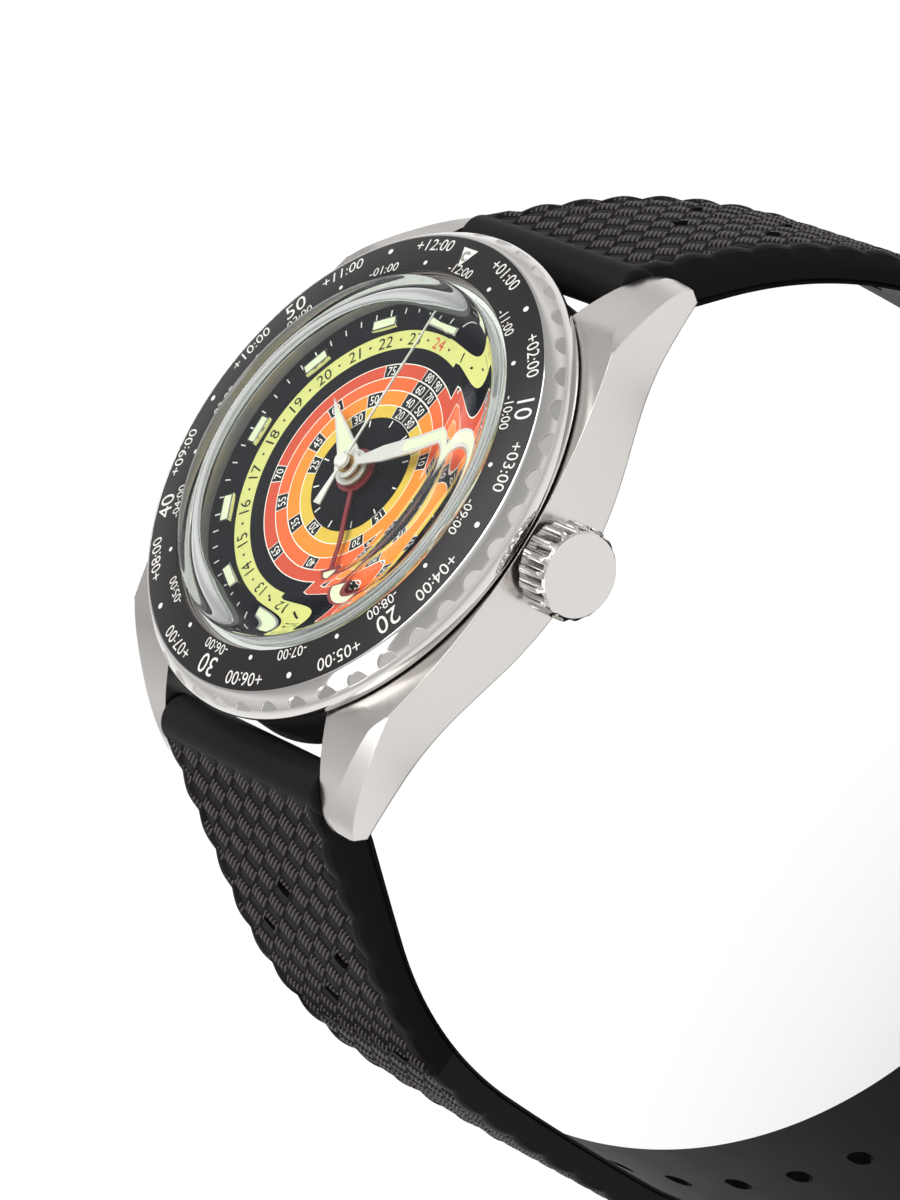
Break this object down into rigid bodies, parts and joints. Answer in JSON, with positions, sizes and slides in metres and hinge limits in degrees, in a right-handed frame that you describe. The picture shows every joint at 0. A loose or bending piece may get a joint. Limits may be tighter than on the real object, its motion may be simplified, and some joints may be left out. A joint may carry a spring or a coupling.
{
  "type": "wristwatch",
  "caption": "World time wristwatch with a turning bezel, box crystal, coloured ring dial, 24-hour hand, screw-back steel case, automatic movement and open rubber strap.",
  "frame": {"origin": "centre of the case back's outer face", "axes": "+Z out of the dial, +X to the crown at 3 o'clock, +Y to 12 o'clock"},
  "size_m": [0.0442, 0.0826, 0.098],
  "materials": {
    "case_steel": "satin flats and polished bevels",
    "rubber_seal": "moulded",
    "strap_rubber": "matt moulded relief",
    "sapphire": "polished",
    "bezel_ceramic": "gloss with white print",
    "lume": "pale green",
    "spring_steel": "fine",
    "dial_print": "matt with coloured rings",
    "date_white": "matt white",
    "polished_steel": "polished",
    "gmt_red": "lacquer",
    "movement_nickel": "nickel plated",
    "movement_brass": "gilt",
    "blued_steel": "ground",
    "ruby": "polished"
  },
  "bodies": {
    "case": {"mid_case": "case_steel", "case_back": "case_steel", "case_gaskets": "rubber_seal", "movement_holder": "movement_nickel", "crystal": "sapphire", "inner_flange": "case_steel", "crown_tube": "case_steel", "bezel_springs": "spring_steel", "dial": "dial_print", "hour_marker_frames": "polished_steel", "hour_marker_lume": "lume", "date_guard": "movement_nickel", "main_plate": "movement_nickel", "barrel_bridge": "movement_nickel", "train_bridge": "movement_nickel", "balance_cock": "movement_nickel", "pallet_bridge": "movement_nickel", "jewel_bearings": "ruby", "bridge_screws": "blued_steel", "wheel_studs": "movement_nickel", "rotor_bearing": "movement_nickel", "spring_bars": "case_steel"},
    "bezel": {"bezel_ring": "case_steel", "bezel_insert": "bezel_ceramic", "bezel_pip": "lume"},
    "clutch": {"clutch_wheel": "blued_steel", "winding_pinion": "blued_steel"},
    "crown": {"crown": "case_steel", "crown_gasket": "rubber_seal", "winding_stem": "blued_steel"},
    "crown_wheel": {"crown_wheel": "blued_steel"},
    "ratchet": {"ratchet_wheel": "blued_steel", "barrel_arbor": "blued_steel"},
    "click": {"click_pawl": "blued_steel"},
    "barrel": {"mainspring_barrel": "movement_brass", "mainspring": "spring_steel"},
    "centre_wheel": {"centre_wheel": "movement_brass"},
    "third_wheel": {"third_wheel": "movement_brass"},
    "seconds": {"fourth_wheel": "movement_brass", "seconds_hand": "polished_steel"},
    "escape_wheel": {"escape_wheel": "movement_brass"},
    "pallet_fork": {"pallet_fork": "blued_steel"},
    "balance": {"balance_wheel": "movement_brass", "hairspring": "spring_steel"},
    "minute": {"cannon_pinion": "movement_brass", "minute_hand": "polished_steel"},
    "minute_wheel": {"minute_wheel": "movement_brass"},
    "hour": {"hour_wheel": "movement_brass", "hour_hand": "polished_steel"},
    "gmt_idler": {"gmt_idler": "movement_brass"},
    "gmt": {"gmt_wheel": "movement_brass", "gmt_hand": "gmt_red"},
    "date": {"date_ring": "date_white"},
    "rotor": {"rotor": "movement_nickel"},
    "strap_12": {"strap_12": "strap_rubber"},
    "strap_6": {"strap_6": "strap_rubber"},
    "keeper": {"free_keeper": "strap_rubber"},
    "buckle": {"buckle_frame": "case_steel", "buckle_bar": "case_steel"},
    "tongue": {"buckle_tongue": "case_steel"}
  },
  "joints": [
    {"name": "bezel_turn", "type": "hinge", "parent": "case", "child": "bezel", "pos_m": [0, 0, 0.009], "axis": [0, 0, 1], "continuous": true},
    {"name": "crown_turn", "type": "hinge", "parent": "case", "child": "clutch", "pos_m": [0, 0, 0.00475], "axis": [1, 0, 0], "continuous": true},
    {"name": "crown_pull", "type": "slide", "parent": "clutch", "child": "crown", "axis": [1, 0, 0], "range_m": [0, 0.0018]},
    {"name": "crown_wheel_turn", "type": "hinge", "parent": "case", "child": "crown_wheel", "pos_m": [0.00805, 0, 0.0034], "axis": [0, 0, 1], "continuous": true},
    {"name": "ratchet_turn", "type": "hinge", "parent": "case", "child": "ratchet", "pos_m": [0.00304, 0.00517, 0.0034], "axis": [0, 0, 1], "continuous": true},
    {"name": "click_rock", "type": "hinge", "parent": "case", "child": "click", "pos_m": [-0.00187, 0.00936, 0.0034], "axis": [0, 0, 1], "range_deg": [-8, 0]},
    {"name": "seconds_turn", "type": "hinge", "parent": "case", "child": "seconds", "pos_m": [0, 0, 0.0092], "axis": [0, 0, 1], "continuous": true},
    {"name": "barrel_turn", "type": "hinge", "parent": "case", "child": "barrel", "pos_m": [0.00304, 0.00517, 0.0042], "axis": [0, 0, 1], "continuous": true},
    {"name": "centre_wheel_turn", "type": "hinge", "parent": "case", "child": "centre_wheel", "pos_m": [0, 0, 0.0049], "axis": [0, 0, 1], "continuous": true},
    {"name": "third_wheel_turn", "type": "hinge", "parent": "case", "child": "third_wheel", "pos_m": [-0.00355, -0.00063, 0.004], "axis": [0, 0, 1], "continuous": true},
    {"name": "escape_wheel_turn", "type": "hinge", "parent": "case", "child": "escape_wheel", "pos_m": [-0.00092, -0.00343, 0.004], "axis": [0, 0, 1], "continuous": true},
    {"name": "fork_rock", "type": "hinge", "parent": "case", "child": "pallet_fork", "pos_m": [0.00005, -0.00565, 0.0041], "axis": [0, 0, 1], "range_deg": [-5.5, 5.5]},
    {"name": "balance_swing", "type": "hinge", "parent": "case", "child": "balance", "pos_m": [0.0009, -0.0076, 0.0035], "axis": [0, 0, 1], "range_deg": [-270, 270]},
    {"name": "minute_turn", "type": "hinge", "parent": "case", "child": "minute", "pos_m": [0, 0, 0.0088], "axis": [0, 0, 1], "continuous": true},
    {"name": "minute_wheel_turn", "type": "hinge", "parent": "case", "child": "minute_wheel", "pos_m": [-0.00045, 0.00256, 0.0062], "axis": [0, 0, 1], "continuous": true},
    {"name": "hour_turn", "type": "hinge", "parent": "case", "child": "hour", "pos_m": [0, 0, 0.0083], "axis": [0, 0, 1], "continuous": true},
    {"name": "gmt_idler_turn", "type": "hinge", "parent": "case", "child": "gmt_idler", "pos_m": [-0.00341, -0.00239, 0.0065], "axis": [0, 0, 1], "continuous": true},
    {"name": "gmt_turn", "type": "hinge", "parent": "case", "child": "gmt", "pos_m": [0, 0, 0.0079], "axis": [0, 0, 1], "continuous": true},
    {"name": "date_turn", "type": "hinge", "parent": "case", "child": "date", "pos_m": [0, 0, 0.0066], "axis": [0, 0, 1], "continuous": true},
    {"name": "rotor_turn", "type": "hinge", "parent": "case", "child": "rotor", "pos_m": [0, 0, 0.0019], "axis": [0, 0, 1], "continuous": true},
    {"name": "strap_12_fold", "type": "hinge", "parent": "case", "child": "strap_12", "pos_m": [0, 0.0214, 0.0031], "axis": [1, 0, 0], "range_deg": [-10, 45]},
    {"name": "strap_6_fold", "type": "hinge", "parent": "case", "child": "strap_6", "pos_m": [0, -0.0214, 0.0031], "axis": [-1, 0, 0], "range_deg": [-8, 45]},
    {"name": "keeper_slide", "type": "slide", "parent": "strap_12", "child": "keeper", "axis": [0, 0.1262, -0.992], "range_m": [-0.004, 0.005]},
    {"name": "buckle_turn", "type": "hinge", "parent": "strap_12", "child": "buckle", "pos_m": [0, 0.04212, -0.06676], "axis": [1, 0, 0], "range_deg": [-60, 45]},
    {"name": "tongue_lift", "type": "hinge", "parent": "buckle", "child": "tongue", "pos_m": [0, 0.04212, -0.06676], "axis": [1, 0, 0], "range_deg": [0, 80]}
  ],
  "couplings": [
    {"joint": "crown_wheel_turn", "follows": "crown_turn", "ratio": 0.46154},
    {"joint": "ratchet_turn", "follows": "crown_turn", "ratio": -0.26087},
    {"joint": "third_wheel_turn", "follows": "seconds_turn", "ratio": -0.13333},
    {"joint": "centre_wheel_turn", "follows": "seconds_turn", "ratio": 0.016667},
    {"joint": "barrel_turn", "follows": "seconds_turn", "ratio": -0.002381},
    {"joint": "escape_wheel_turn", "follows": "seconds_turn", "ratio": -12},
    {"joint": "minute_wheel_turn", "follows": "minute_turn", "ratio": -0.33333},
    {"joint": "hour_turn", "follows": "minute_turn", "ratio": 0.083333},
    {"joint": "gmt_idler_turn", "follows": "minute_turn", "ratio": -0.083333},
    {"joint": "gmt_turn", "follows": "minute_turn", "ratio": 0.041667}
  ]
}
